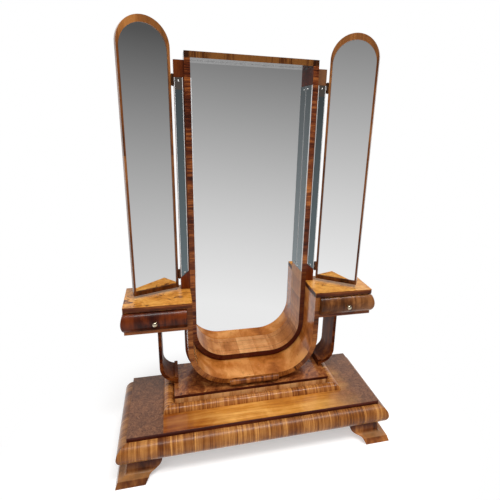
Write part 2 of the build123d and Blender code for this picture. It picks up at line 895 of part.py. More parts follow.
def build_wings():
    """Wings, their glass strips and the screws of the strips."""
    with BuildPart() as screws:
        for side in SIDES.values():
            for place in strip_screw_places(side) + lining_screw_places(side):
                add(screw(place).part)
    save(screws, "strip_screws")
    for name, side in SIDES.items():
        save(wing(side), f"wing_{name}")
    with BuildPart() as strips:
        for side in SIDES.values():
            add(glass_strip(side).part)
    save(strips, "wing_glass_strips")
    with BuildPart() as linings:
        for side in SIDES.values():
            add(lining_strip(side).part)
    save(linings, "lining_glass_strips")


def build_cabinets():
    """Both cabinets with their drawers, knobs and supports."""
    low, _ = drawer_levels()
    x0, x1, y0, y1 = drawer_inside()
    for name, side in SIDES.items():
        top = cabinet_slab_piece(side, ribbon_half, cabinet_outer, slab_z, cabinet_top_level)
        save(top, f"cabinet_top_{name}")
        floor = cabinet_slab_piece(side, cabinet_inner, cabinet_outer, cabinet_z, cabinet_floor_z)
        save(floor, f"cabinet_floor_{name}")
        save(cabinet_outer_side(side), f"cabinet_outer_side_{name}")
        save(cabinet_inner_side(side), f"cabinet_inner_side_{name}")
        save(drawer_front(side), f"drawer_front_{name}")
        save(drawer_sides(side), f"drawer_sides_{name}")
        floor_z = low + drawer_bottom_lift
        inside_z = floor_z + drawer_bottom_board
        back_z = low + drawer_side_height
        back = block(side * x0, side * x1, y1 - drawer_board, y1, inside_z, back_z)
        save(back, f"drawer_back_{name}")
        bottom = block(side * x0, side * x1, y0, y1, floor_z, inside_z)
        save(bottom, f"drawer_bottom_{name}")
        save(knob(side), f"knob_{name}")
        save(support(side), f"support_{name}")
    with BuildPart() as backs:
        with BuildSketch(Plane.XY.offset(cabinet_floor_z)):
            for side in SIDES.values():
                middle = side * (drawer_inner + drawer_outer) / 2
                with Locations((middle, cabinet_back_y - cabinet_board / 2)):
                    Rectangle(drawer_outer - drawer_inner, cabinet_board)
        extrude(amount=cabinet_body_height)
    save(backs, "cabinet_backs")


def build_side_mirrors():
    """Side mirrors and their hinges, at the angles of the photograph."""
    with BuildPart() as pins:
        for side in SIDES.values():
            for level in hinge_levels:
                heights = knuckle_levels(level)
                with BuildSketch(Plane.XY.offset(heights[0])):
                    with Locations((side * pivot_x, pivot_y)):
                        Circle(pin_radius)
                extrude(amount=hinge_height)
                for tip, lift in ((heights[0], -pin_tip_height), (heights[3], pin_tip_height)):
                    with BuildSketch(Plane.XY.offset(tip)):
                        with Locations((side * pivot_x, pivot_y)):
                            Circle(pin_tip_radius)
                    extrude(amount=lift)
    save(pins, "hinge_pins")
    with BuildPart() as leaves:
        for side in SIDES.values():
            add(fixed_leaves(side).part)
    save(leaves, "hinge_leaves_fixed")
    with BuildPart() as screws:
        for side in SIDES.values():
            for level in hinge_levels:
                for place in hinge_screw_places(side, level):
                    add(screw(place).part)
    save(screws, "hinge_screws")
    for name, side in SIDES.items():
        plane = side_plane(side, rest_angle[name])
        save(side_frame(side, plane), f"side_frame_{name}")
        save(side_panel(side, plane, side_lip, mirror_thickness), f"side_mirror_{name}")
        board_depth = side_lip + mirror_thickness
        save(side_panel(side, plane, board_depth, side_back_board), f"side_back_{name}")
        save(moving_leaves(side, plane), f"hinge_leaves_{name}")


os.makedirs("parts", exist_ok=True)
build_plinth()
build_step()
build_ribbon()
build_main_mirror()
build_wings()
build_cabinets()
build_side_mirrors()
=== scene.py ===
"""Looks of the standing dressing mirror: veneers, polish, glass, metal, stage and camera."""

import bpy
from mathutils import Matrix, Vector

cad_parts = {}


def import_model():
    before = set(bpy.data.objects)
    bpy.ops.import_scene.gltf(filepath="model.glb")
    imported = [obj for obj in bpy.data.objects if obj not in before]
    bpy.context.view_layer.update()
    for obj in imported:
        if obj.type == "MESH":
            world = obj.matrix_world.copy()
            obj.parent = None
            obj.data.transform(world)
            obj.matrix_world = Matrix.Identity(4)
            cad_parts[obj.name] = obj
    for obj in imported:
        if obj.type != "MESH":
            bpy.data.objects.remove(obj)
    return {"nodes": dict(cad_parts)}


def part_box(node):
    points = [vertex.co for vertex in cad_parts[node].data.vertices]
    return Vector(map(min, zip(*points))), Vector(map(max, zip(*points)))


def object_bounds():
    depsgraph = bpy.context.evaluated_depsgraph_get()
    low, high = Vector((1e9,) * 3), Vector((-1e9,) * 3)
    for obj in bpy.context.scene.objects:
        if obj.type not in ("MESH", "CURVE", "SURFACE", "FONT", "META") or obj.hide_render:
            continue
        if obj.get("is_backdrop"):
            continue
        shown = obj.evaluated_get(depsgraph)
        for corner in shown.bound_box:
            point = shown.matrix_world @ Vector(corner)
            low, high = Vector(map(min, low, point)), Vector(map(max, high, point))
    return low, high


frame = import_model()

bl_info = {
    "name": "Dressing mirror finishes",
    "version": (1, 0, 0),
    "blender": (4, 5, 0),
    "location": "View3D > Sidebar > Dressing mirror",
    "description": "Veneers, polish, glass and metal of a standing dressing mirror, and its stage",
    "category": "Material",
}

SIDES = {"left": -1, "right": 1}
NODES = frame["nodes"]
SKIN = 0.0004  # depth behind a front edge that still shows its own veneer
BLUR = 0.0006  # width of the change from one veneer to the next

# Factors of red, green and blue that make one veneer darker or paler; those that stand for painted
# shade or painted light are marked where they are used.
COLOUR_FACTORS = {
    # gold_left_shade: painted shade where the golden sheet's painted light dims to its left end.
    "gold_left_shade": (0.48, 0.32, 0.22),
    "moulding_zone": (0.5, 0.38, 0.32),
    # moulding_side: painted shade on the side mouldings.
    "moulding_side": (0.7, 0.7, 0.75),
    # foot_left and foot_right: painted shade and painted light on copies of one veneer.
    "foot_left": (0.8, 0.85, 1.0),
    "foot_right": (1.5, 1.7, 2.1),
    "ribbon_arms": (0.55, 0.5, 0.45),
    "ribbon_right": (0.62, 0.45, 0.3),
    "support": (0.7, 0.6, 0.5),
    "stile_right": (1.6, 1.9, 2.3),
    "lining_top": (0.22, 0.08, 0.04),
    "rail": (0.5, 0.56, 0.6),
    "wing_foot": (0.62, 0.5, 0.45),
    "wing_left": (0.38, 0.3, 0.15),
    "top_edge": (0.4, 0.3, 0.25),
    "arch_foot": (0.5, 0.4, 0.32),
}


def srgb(red, green, blue):
    """Linear colour of three display values from 0 to 255."""
    return tuple(
        ((v / 255 + 0.055) / 1.055) ** 2.4 if v > 10 else v / 3294.6 for v in (red, green, blue)
    )


def colour(name, description, red, green, blue):
    """A colour property with its default in display values."""
    return bpy.props.FloatVectorProperty(
        name=name,
        description=description,
        default=srgb(red, green, blue),
        subtype="COLOR",
        size=3,
        min=0.0,
        max=1.0,
    )


def length(name, description, metres):
    """A length property in metres."""
    return bpy.props.FloatProperty(
        name=name, description=description, default=metres, min=0.0, precision=4, unit="LENGTH"
    )


def share(name, description, value, top=1.0):
    """A plain number property."""
    return bpy.props.FloatProperty(
        name=name, description=description, default=value, min=0.0, max=top
    )


class VeneerColours(bpy.types.PropertyGroup):
    """Dark, middle and light tone of each veneer."""

    burl_dark: colour("Burl dark", "Eyes and veins of the burl on plinth and step", 70, 40, 24)
    burl_mid: colour("Burl middle", "Ground of the burl on plinth and step", 110, 70, 46)
    burl_light: colour("Burl light", "Light islands of the burl on plinth and step", 146, 98, 66)
    # The golden tones below also carry a painted pool of light thrown down by the main mirror.
    gold_dark: colour(
        "Gold dark", "Dark streaks of the golden veneer in front of the step", 156, 84, 24
    )
    gold_mid: colour(
        "Gold middle", "Ground of the golden veneer in front of the step", 202, 132, 52
    )
    gold_light: colour("Gold light", "Light streaks of the golden veneer", 232, 174, 92)
    step_dark: colour("Step dark", "Eyes and veins on the step", 66, 24, 10)
    step_mid: colour("Step middle", "Ground of the step", 140, 78, 38)
    step_light: colour("Step light", "Light islands on the step", 196, 132, 74)
    bull_dark: colour("Moulding dark", "Dark lines of the plinth moulding", 54, 20, 7)
    bull_mid: colour("Moulding middle", "Ground of the plinth moulding", 144, 84, 34)
    bull_light: colour("Moulding light", "Light lines of the plinth moulding", 214, 152, 82)
    edge_dark: colour("Edge dark", "Darkest tone of the stained panel edges", 36, 8, 5)
    edge_mid: colour("Edge middle", "Stained edge of the plinth and step panels", 64, 18, 10)
    edge_light: colour("Edge light", "Lightest tone of the stained panel edges", 96, 38, 18)
    band_dark: colour("Banding dark", "Dark lines of the cross banding", 72, 28, 12)
    band_mid: colour("Banding middle", "Ground of the cross banding", 150, 86, 36)
    band_light: colour("Banding light", "Light lines of the cross banding", 212, 148, 78)
    inner_dark: colour("Bend dark", "Dark tone inside the ribbon", 124, 62, 18)
    inner_mid: colour("Bend middle", "Ground inside the ribbon", 186, 112, 48)
    inner_light: colour("Bend light", "Light tone inside the ribbon", 224, 158, 90)
    rim_dark: colour("Rim dark", "Dark lines on the narrow edge of the ribbon", 50, 20, 5)
    rim_mid: colour("Rim middle", "Narrow edge of the ribbon", 106, 52, 16)
    rim_light: colour("Rim light", "Light lines on the narrow edge of the ribbon", 160, 96, 42)
    front_dark: colour("Frame dark", "Dark lines on the front edge of the main frame", 36, 8, 2)
    front_mid: colour("Frame middle", "Front edge of the main frame", 84, 34, 12)
    front_light: colour(
        "Frame light", "Light lines on the front edge of the main frame", 156, 88, 38
    )
    lining_dark: colour("Lining dark", "Dark tone of the frame's inner faces", 122, 66, 28)
    lining_mid: colour("Lining middle", "Inner faces of the main frame", 184, 120, 66)
    lining_light: colour("Lining light", "Light tone of the frame's inner faces", 222, 168, 110)
    wing_dark: colour("Wing dark", "Dark tone of the wings", 66, 18, 6)
    wing_mid: colour("Wing middle", "Ground of the wings", 122, 52, 14)
    wing_light: colour("Wing light", "Light tone of the wings", 160, 86, 36)
    slab_dark: colour("Slab dark", "Veins on the cabinet tops", 74, 32, 8)
    slab_mid: colour("Slab middle", "Ground of the cabinet tops", 200, 130, 50)
    slab_light: colour("Slab light", "Light tone of the cabinet tops", 236, 178, 92)
    drawer_dark: colour("Drawer dark", "Dark mottling of the drawer fronts", 26, 6, 4)
    drawer_mid: colour("Drawer middle", "Ground of the drawer fronts", 62, 22, 10)
    drawer_light: colour("Drawer light", "Light mottling of the drawer fronts", 108, 46, 14)
    cushion_dark: colour("Right drawer dark", "Dark lines of the right drawer front", 44, 20, 8)
    cushion_mid: colour("Right drawer middle", "Ground of the right drawer front", 98, 56, 26)
    cushion_light: colour("Right drawer light", "Light tone of the right drawer front", 146, 94, 52)
    arch_dark: colour("Arch dark", "Dark tone of the side frames", 48, 22, 8)
    arch_mid: colour("Arch middle", "Ground of the side frames", 112, 62, 26)
    arch_light: colour("Arch light", "Light tone of the side frames", 170, 110, 56)
    plain_dark: colour("Carcass dark", "Dark grain of the unseen carcass wood", 110, 74, 42)
    plain_mid: colour("Carcass middle", "Ground of the carcass wood", 156, 114, 72)
    plain_light: colour("Carcass light", "Light grain of the carcass wood", 188, 150, 106)
    steel: colour("Hinge metal", "Hinges of the side mirrors", 96, 64, 46)
    chrome: colour("Screw metal", "Round-headed screws of the glass strips", 250, 250, 246)
    brass: colour("Knob metal", "Pale lacquered brass of the knobs", 226, 214, 186)
    silver: colour("Silvering", "Reflection of the mirror glass", 250, 250, 250)
    smoke: colour("Strip glass", "Reflection of the narrow glass strips", 112, 124, 128)


class VeneerSizes(bpy.types.PropertyGroup):
    """Sizes of the veneer sheets, and the polish."""

    plinth_sheet: length("Plinth sheet", "Width of a sheet on the plinth moulding", 0.158)
    step_sheet: length("Step sheet", "Width of a sheet on the step moulding", 0.072)
    ribbon_sheet: length("Ribbon sheet", "Width of a sheet along the ribbon", 0.31)
    lining_sheet: length("Lining sheet", "Width of a sheet inside the main frame", 0.088)
    joint: length("Joint", "Width of the line where two sheets meet", 0.0009)
    polish: share("Polish", "Strength of the clear polish on the veneers", 0.22)
    roughness: share("Roughness", "Roughness of the polished wood", 0.3)
    relief: share("Relief", "Strength of grain and pores in the surface", 0.25)


class StageSettings(bpy.types.PropertyGroup):
    """Light and floor of the studio."""

    softbox: share("Softbox", "Power of the wide lamp overhead, in watts", 270.0, 500.0)
    fill: share("Fill", "Power of the soft lamp from the front left, in watts", 42.0, 500.0)
    room: share("Room", "Strength of the even light of the room", 0.38, 4.0)
    floor: share("Floor", "Lightness of the floor", 0.82)


class Field:
    """A socket that takes part in Python arithmetic; each step adds a Math node."""

    def __init__(self, tree, node, output):
        self.tree = tree
        self.node = node
        self.socket = node.outputs[output] if node.outputs else None

    def output(self, name):
        return Field(self.tree, self.node, name)

    def __add__(self, other):
        return self.tree.maths("ADD", self, other)

    def __radd__(self, other):
        return self.tree.maths("ADD", other, self)

    def __sub__(self, other):
        return self.tree.maths("SUBTRACT", self, other)

    def __rsub__(self, other):
        return self.tree.maths("SUBTRACT", other, self)

    def __mul__(self, other):
        return self.tree.maths("MULTIPLY", self, other)

    def __rmul__(self, other):
        return self.tree.maths("MULTIPLY", other, self)

    def __truediv__(self, other):
        return self.tree.maths("DIVIDE", self, other)

    def __rtruediv__(self, other):
        return self.tree.maths("DIVIDE", other, self)


class Tree:
    """A node tree that is written in short steps."""

    def __init__(self, owner):
        owner.use_nodes = True
        self.tree = owner.node_tree
        self.tree.nodes.clear()

    def node(self, kind, settings=None, sockets=None, output=0):
        """A node of a kind: its settings first, then the values or links of its sockets."""
        new = self.tree.nodes.new(kind)
        for name, value in (settings or {}).items():
            if name == "stops":
                new.color_ramp.elements[1].position = value[-1][0]
                new.color_ramp.elements[1].color = (*value[-1][1], 1.0)
                new.color_ramp.elements[0].position = value[0][0]
                new.color_ramp.elements[0].color = (*value[0][1], 1.0)
                for place, shade in value[1:-1]:
                    new.color_ramp.elements.new(place).color = (*shade, 1.0)
            else:
                setattr(new, name, value)
        for name, value in (sockets or {}).items():
            target = new.inputs[name]
            if isinstance(value, Field):
                self.tree.links.new(value.socket, target)
            elif target.type == "RGBA":
                target.default_value = (*value, 1.0) if len(value) == 3 else value
            else:
                target.default_value = value
        return Field(self, new, output)

    def maths(self, operation, *values):
        return self.node("ShaderNodeMath", {"operation": operation}, dict(enumerate(values)))

    def vector(self, operation, *values):
        return self.node("ShaderNodeVectorMath", {"operation": operation}, dict(enumerate(values)))

    def join(self, x, y, z):
        return self.node("ShaderNodeCombineXYZ", None, {"X": x, "Y": y, "Z": z})

    def parts(self, vector):
        x = self.node("ShaderNodeSeparateXYZ", None, {0: vector})
        return x, x.output("Y"), x.output("Z")

    def mix(self, factor, a, b, blend="MIX"):
        """Colour a where the factor is 0 and colour b where it is 1."""
        settings = {"data_type": "RGBA", "blend_type": blend}
        return self.node("ShaderNodeMix", settings, {0: factor, 6: a, 7: b}, 2)

    def recoloured(self, amount, a, name):
        """Colour a multiplied by a named colour factor, as far as the amount says."""
        return self.mix(amount, a, COLOUR_FACTORS[name], "MULTIPLY")

    def smooth(self, value, low, high):
        """0 below low, 1 above high, a smooth step between."""
        sockets = {"Value": value, "From Min": low, "From Max": high}
        return self.node("ShaderNodeMapRange", {"interpolation_type": "SMOOTHSTEP"}, sockets)

    def between(self, value, start, full, fade, end):
        """1 from full to fade, 0 before start and after end."""
        return self.smooth(value, start, full) * (1.0 - self.smooth(value, fade, end))

    def noise(self, vector, scale, detail=3.0, roughness=0.55, distortion=0.0, output=0):
        sockets = {
            "Vector": vector,
            "Scale": scale,
            "Detail": detail,
            "Roughness": roughness,
            "Distortion": distortion,
        }
        return self.node("ShaderNodeTexNoise", None, sockets, output)

    def chance(self, value):
        """A number from 0 to 1 for each whole number."""
        return self.node(
            "ShaderNodeTexWhiteNoise", {"noise_dimensions": "1D"}, {"W": value}, "Value"
        )

    def place(self):
        """The point on the object, in metres."""
        return self.node("ShaderNodeTexCoord", output="Object")

    def axis(self, number):
        """One coordinate of the point: 0 to the right, 1 to the back, 2 upwards."""
        return self.parts(self.place())[number]


def material(name):
    """A new material and its tree."""
    made = bpy.data.materials.new(name)
    return made, Tree(made)


def dress(made, *names):
    """Give a finished material to CAD nodes, in every slot they have."""
    for name in names:
        node = NODES[name]
        if not node.material_slots:
            node.data.materials.append(made)
        for slot in node.material_slots:
            slot.material = made


def tones(group, name):
    """The three tones of a veneer."""
    return [tuple(getattr(group, f"{name}_{tone}")) for tone in ("dark", "mid", "light")]


def along_x(tree):
    """The point, for a board that lies from left to right."""
    return tree.place()


def along_y(tree):
    """The point with its first number running to the back."""
    x, y, z = tree.parts(tree.place())
    return tree.join(y, x, z)


def along_z(tree):
    """The point with its first number running upwards."""
    x, y, z = tree.parts(tree.place())
    return tree.join(z, x, y)


# Names of the mouldings' materials, the line of their veneer, and the ends of the nodes' names.
MOULDINGS = (("front", along_x, ("front",)), ("side", along_y, ("left", "right")))


def bent(tree, middle, floor, radius):
    """Length along a U bent round two lower corners, distance from its line, and depth.

    The corner centres are middle from the middle plane and floor above the ground. Beside the
    corner the length is the arc, over it the height, under it the plain distance from X = 0.
    """
    x, y, z = tree.parts(tree.place())
    out = tree.maths("ABSOLUTE", x) - middle
    down = floor - z
    turned = tree.maths(
        "ARCTAN2", tree.maths("MAXIMUM", out, 0.0), tree.maths("MAXIMUM", down, 0.0001)
    )
    run = tree.maths("MINIMUM", tree.maths("ABSOLUTE", x), middle)
    run = run + turned * radius + tree.maths("MAXIMUM", z - floor, 0.0)
    reach = tree.maths("MAXIMUM", out, 0.0) + tree.maths("MAXIMUM", down, 0.0)
    return tree.join(run * tree.maths("SIGN", x), reach, y)


def wood(
    tree, place, shades, grain, sheet, spread=0.35, figure=0.5, offset=0.0, fine=0.9, broad=1.3
):
    """Veneer laid in sheets along a board: its colour and its relief.

    A tone is summed from fine streaks and broad streaks, noise stretched by the grain, plus round
    clouds and one random number for each sheet. A ramp turns the tone into dark, middle and
    light, and a thin dark line is drawn where two sheets meet.
    """
    joint = bpy.context.scene.mirror_sizes.joint
    laid = tree.parts(place)[0] / sheet + offset
    number = tree.maths("FLOOR", laid)
    first = tree.chance(number)
    second = tree.chance(number + 0.37)
    moved = tree.vector("ADD", place, tree.join(first * 3.1, second * 2.3, first * 1.7))
    drift = tree.noise(moved, scale=5.0, detail=2.0, output=1)
    moved = tree.vector("ADD", moved, tree.vector("MULTIPLY", drift, (0.012, 0.012, 0.012)))
    streak = tree.noise(
        tree.vector("MULTIPLY", moved, grain), scale=1.0, detail=5.0, roughness=0.65, distortion=0.3
    )
    wide = tree.noise(
        tree.vector("MULTIPLY", moved, [g * 0.2 for g in grain]),
        scale=1.0, detail=3.0, roughness=0.5, distortion=0.5,
    )
    cloud = tree.noise(moved, scale=9.0, detail=4.0, roughness=0.6, distortion=0.6)
    tone = 0.5 + (streak - 0.5) * fine + (wide - 0.5) * broad + (cloud - 0.5) * figure
    tone = tone + (second - 0.5) * spread
    dark, middle, light = shades
    stops = [(0.16, dark), (0.5, middle), (0.84, light)]
    colour_field = tree.node("ShaderNodeValToRGB", {"stops": stops}, {0: tone})
    pores = tree.noise(
        tree.vector("MULTIPLY", moved, [g * 5.0 for g in grain]),
        scale=1.0, detail=2.0, roughness=0.7,
    )
    pore = tree.smooth(pores, 0.62, 0.72)
    colour_field = tree.mix(pore * 0.35, colour_field, dark)
    edge = tree.maths("PINGPONG", laid, 0.5) * sheet
    seam = 1.0 - tree.smooth(edge, joint * 0.3, joint)
    colour_field = tree.mix(seam * 0.55, colour_field, dark)
    height = streak * 0.5 + cloud * 0.3 - pore * 0.5 - seam * 0.8
    return colour_field, height


def burl(tree, place, shades, size):
    """Burl: a ground of warped noise with small dark eyes and pale islands between them."""
    drift = tree.noise(place, scale=7.0 / size, detail=3.0, roughness=0.6, distortion=0.0, output=1)
    warp = 0.07 * size
    warped = tree.vector("ADD", place, tree.vector("MULTIPLY", drift, (warp,) * 3))
    swirl = tree.noise(warped, scale=34.0 / size, detail=6.0, roughness=0.68, distortion=1.3)
    speck = tree.noise(warped, scale=150.0 / size, detail=3.0, roughness=0.7, distortion=0.4)
    eyes = tree.node(
        "ShaderNodeTexVoronoi",
        {"feature": "SMOOTH_F1"},
        {"Vector": warped, "Scale": 62.0 / size, "Smoothness": 0.4, "Randomness": 1.0},
    )
    eye = 1.0 - tree.smooth(eyes, 0.1, 0.3)
    tone = 0.5 + (swirl - 0.5) * 1.2 + (speck - 0.5) * 0.8 - eye * 0.18
    dark, middle, light = shades
    stops = [(0.2, dark), (0.5, middle), (0.8, light)]
    height = swirl * 0.5 + speck * 0.3 - eye * 0.4
    return tree.node("ShaderNodeValToRGB", {"stops": stops}, {0: tone}), height


def flamed(tree, place, shades, stretch, veins):
    """Figured walnut: contour lines of a stretched and warped noise, like flames or hills."""
    drift = tree.noise(place, scale=6.0, detail=4.0, roughness=0.6, distortion=0.0, output=1)
    warped = tree.vector("ADD", place, tree.vector("MULTIPLY", drift, (0.1, 0.1, 0.1)))
    hills = tree.noise(
        tree.vector("MULTIPLY", warped, stretch),
        scale=1.0, detail=2.0, roughness=0.5, distortion=0.8,
    )
    line = tree.maths("PINGPONG", hills * 9.0, 0.5) * 2.0
    vein = (1.0 - tree.smooth(line, 0.04, 0.26)) * tree.smooth(
        tree.noise(warped, scale=8.0, detail=2.0), 0.42, 0.6
    )
    fine = tree.noise(
        tree.vector("MULTIPLY", warped, [s * 7.0 for s in stretch]),
        scale=1.0, detail=4.0, roughness=0.65,
    )
    cloud = tree.noise(warped, scale=14.0, detail=3.0, roughness=0.6)
    tone = 0.56 + (fine - 0.5) * 0.9 + (cloud - 0.5) * 0.7 + (hills - 0.5) * 0.5 - vein * veins
    dark, middle, light = shades
    stops = [(0.14, dark), (0.5, middle), (0.86, light)]
    height = fine * 0.5 + cloud * 0.3 - vein * 0.3
    return tree.node("ShaderNodeValToRGB", {"stops": stops}, {0: tone}), height


def edge_wear_and_highlight(tree, colour_field, shade, box, width=0.003, amount=0.5):
    """Lighter colour along the edges of a box, broken up by noise: polish rubbed off there, and
    painted edge highlights.

    For a point, the three distances to the nearest faces of the box are sorted; near an edge the
    middle one of the three is small.
    """
    low, high = box
    gaps = []
    for axis, value in enumerate(tree.parts(tree.place())):
        gaps.append(tree.maths("MINIMUM", value - low[axis], high[axis] - value))
    small = tree.maths("MINIMUM", gaps[0], gaps[1])
    large = tree.maths("MAXIMUM", gaps[0], gaps[1])
    median = tree.maths("MAXIMUM", small, tree.maths("MINIMUM", large, gaps[2]))
    ragged = tree.noise(tree.place(), scale=60.0, detail=4.0, roughness=0.7)
    wear_and_highlight = (1.0 - tree.smooth(median, 0.0, width)) * tree.smooth(ragged, 0.42, 0.62)
    return tree.mix(wear_and_highlight * amount, colour_field, shade)


def polish(
    tree,
    colour_field,
    height,
    rough=None,
    coat=None,
    relief=None,
    level=0.12,
    coat_rough=0.1,
    metallic=0.0,
):
    """Polished wood: a clear coat over a slightly rough ground, with the grain as relief.

    Roughness, coat and relief come from the panel's sizes unless they are given. The level is that
    of the ground's own sheen, and metallic is 1 where silvered glass takes the wood's place.
    """
    sizes = bpy.context.scene.mirror_sizes
    rough = sizes.roughness if rough is None else rough
    coat = sizes.polish if coat is None else coat
    relief = sizes.relief if relief is None else relief
    hazy = tree.noise(tree.place(), scale=4.0, detail=3.0, roughness=0.6)
    rubbing = tree.noise(
        tree.vector("MULTIPLY", tree.place(), (30.0, 90.0, 30.0)),
        scale=1.0, detail=3.0, roughness=0.6,
    )
    bump = tree.node(
        "ShaderNodeBump", None,
        {"Strength": relief, "Distance": 0.0004, "Height": height + hazy * 0.2},
    )
    shader = tree.node(
        "ShaderNodeBsdfPrincipled",
        None,
        {
            "Base Color": colour_field,
            "Roughness": rough + (hazy - 0.5) * 0.14 + (rubbing - 0.5) * 0.08,
            "Metallic": metallic,
            "Specular IOR Level": level,
            "Coat Weight": coat,
            "Coat Roughness": coat_rough,
            "Normal": bump,
        },
    )
    tree.node("ShaderNodeOutputMaterial", None, {"Surface": shader})


def metal(name, shade, rough, grain):
    """Metal with fine handling marks in its roughness and colour."""
    made, tree = material(name)
    marks = tree.noise(tree.place(), scale=grain, detail=5.0, roughness=0.65, distortion=0.5)
    tarnish = tree.noise(tree.place(), scale=grain * 0.4, detail=3.0, roughness=0.6)
    dull = tree.smooth(tarnish, 0.45, 0.7)
    base = tree.mix(dull * 0.35, shade, tuple(0.45 * v for v in shade))
    bump = tree.node(
        "ShaderNodeBump", None, {"Strength": 0.12, "Distance": 0.0003, "Height": marks}
    )
    shader = tree.node(
        "ShaderNodeBsdfPrincipled",
        None,
        {
            "Base Color": base,
            "Metallic": 1.0,
            "Roughness": rough + (marks - 0.5) * 0.2 + dull * 0.12,
            "Normal": bump,
        },
    )
    tree.node("ShaderNodeOutputMaterial", None, {"Surface": shader})
    return made


def mirror_glass(name, shade, box, rough=0.012):
    """Silvered glass: a clean reflection, a little darker and rougher near its edges."""
    made, tree = material(name)
    cloud = tree.noise(tree.place(), scale=9.0, detail=3.0, roughness=0.6)
    spots = tree.noise(tree.place(), scale=210.0, detail=2.0, roughness=0.7)
    low, high = box
    z = tree.axis(2)
    edge = tree.maths("ABSOLUTE", tree.maths("MINIMUM", z - low.z, high.z - z))
    aged = (1.0 - tree.smooth(edge, 0.0, 0.012)) * tree.smooth(spots, 0.5, 0.62)
    base = tree.mix(aged * 0.5, shade, tuple(0.5 * v for v in shade))
    shader = tree.node(
        "ShaderNodeBsdfPrincipled",
        None,
        {
            "Base Color": base,
            "Metallic": 1.0,
            "Roughness": rough + cloud * 0.01 + aged * 0.2,
        },
    )
    tree.node("ShaderNodeOutputMaterial", None, {"Surface": shader})
    return made


def under(tree, level):
    """1 below a height, as on the edges of a panel whose veneer lies on top."""
    return 1.0 - tree.smooth(tree.axis(2), level - BLUR, level)


def before(tree, depth):
    """1 in front of a plane, as on the front edge of a board."""
    return 1.0 - tree.smooth(tree.axis(1), depth, depth + BLUR)


class MIRROR_OT_stage(bpy.types.Operator):
    """Floor, lamps, room light and the camera of the photograph"""

    bl_idname = "mirror.stage"
    bl_label = "Stage"

    def execute(self, context):
        settings = context.scene.mirror_stage
        self.camera(context)
        self.floor(context, settings)
        self.room(context, settings)
        self.lamp(
            context, "softbox", (1.05, -2.3, 6.0), (0.1, -0.1, 0.2), (4.8, 0.9), settings.softbox
        )
        self.lamp(context, "fill", (-2.4, -3.0, 3.6), (0.0, 0.0, 0.8), (2.0, 2.0), settings.fill)
        context.scene.view_settings.view_transform = "Standard"
        return {"FINISHED"}

    def camera(self, context):
        """The camera stands where the photograph's was, turned right and down."""
        data = bpy.data.cameras.new("camera")
        camera = bpy.data.objects.new("camera", data)
        context.scene.collection.objects.link(camera)
        right = Vector((0.96979, -0.24192, 0.03139))
        down = Vector((-0.04159, -0.29078, -0.95589))
        ahead = Vector((0.24037, 0.92570, -0.29206))
        turned = Matrix((right, -down, -ahead)).transposed().to_4x4()
        turned.translation = Vector((-0.3537, -1.5499, 1.442))
        camera.matrix_world = turned
        data.sensor_width = 36.0
        data.lens = 28.228
        data.shift_x = -0.03746
        data.shift_y = -0.01664
        context.scene.camera = camera

    def floor(self, context, settings):
        """A wide pale floor: white to the camera, kept darker where the object shades it."""
        half = 9.0
        mesh = bpy.data.meshes.new("floor")
        corners = [(-half, -half, 0.0), (half, -half, 0.0), (half, half, 0.0), (-half, half, 0.0)]
        mesh.from_pydata(corners, [], [(0, 1, 2, 3)])
        ground = bpy.data.objects.new("floor", mesh)
        context.scene.collection.objects.link(ground)
        made, tree = material("stage_floor")
        lightness = (settings.floor,) * 3
        plain = tree.node("ShaderNodeBsdfDiffuse", None, {"Color": lightness})
        lifted = tree.node("ShaderNodeEmission", None, {"Color": (1.0, 1.0, 1.0), "Strength": 0.42})
        shaded = tree.node("ShaderNodeAddShader", None, {0: plain, 1: lifted})
        white = tree.node("ShaderNodeEmission", None, {"Color": (1.0, 1.0, 1.0), "Strength": 1.0})
        x, y, _ = tree.parts(tree.place())
        away = tree.vector("LENGTH", tree.join(x, y * 1.4, 0.0)).output("Value")
        far = tree.smooth(away, 0.7, 1.15)
        seen = tree.node("ShaderNodeMixShader", None, {0: far, 1: shaded, 2: white})
        clear = tree.node("ShaderNodeBsdfTransparent")
        rays = tree.node("ShaderNodeLightPath", output="Is Camera Ray")
        first = tree.node("ShaderNodeMixShader", None, {0: rays, 1: plain, 2: seen})
        glossy = rays.output("Is Glossy Ray")
        last = tree.node("ShaderNodeMixShader", None, {0: glossy, 1: first, 2: clear})
        tree.node("ShaderNodeOutputMaterial", None, {"Surface": last})
        mesh.materials.append(made)
        ground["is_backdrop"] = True

    def room(self, context, settings):
        """Even light for the wood; what mirrors and polish show is a sweep, lighter below.

        Towards the front the sweep falls with the height of the look, behind the object it is
        white.
        """
        world = bpy.data.worlds.new("room")
        context.scene.world = world
        tree = Tree(world)
        look = tree.node("ShaderNodeTexCoord", output="Generated")
        x, y, z = tree.parts(look)
        sweep = 0.375 - z * 1.12 - x * 0.11
        sweep = tree.maths("MINIMUM", tree.maths("MAXIMUM", sweep, 0.1), 0.85)
        back = tree.smooth(y, -0.15, 0.35)
        shown = sweep * (1.0 - back) + back * 1.5
        rays = tree.node("ShaderNodeLightPath", output="Is Camera Ray")
        glossy = rays.output("Is Glossy Ray")
        straight = tree.maths("MAXIMUM", rays, rays.output("Is Transmission Ray"))
        strength = shown * glossy + (1.0 - glossy) * (straight + (1.0 - straight) * settings.room)
        light = tree.node(
            "ShaderNodeBackground", None, {"Color": (1.0, 1.0, 1.0), "Strength": strength}
        )
        tree.node("ShaderNodeOutputWorld", None, {"Surface": light})

    def lamp(self, context, name, place, target, size, power):
        """A soft area lamp that faces a point."""
        data = bpy.data.lights.new(name, "AREA")
        data.shape = "RECTANGLE"
        data.size, data.size_y = size
        data.energy = power
        lamp = bpy.data.objects.new(name, data)
        context.scene.collection.objects.link(lamp)
        lamp.location = place
        lamp.visible_glossy = name == "softbox"
        lamp.rotation_euler = (Vector(target) - Vector(place)).to_track_quat("-Z", "Y").to_euler()


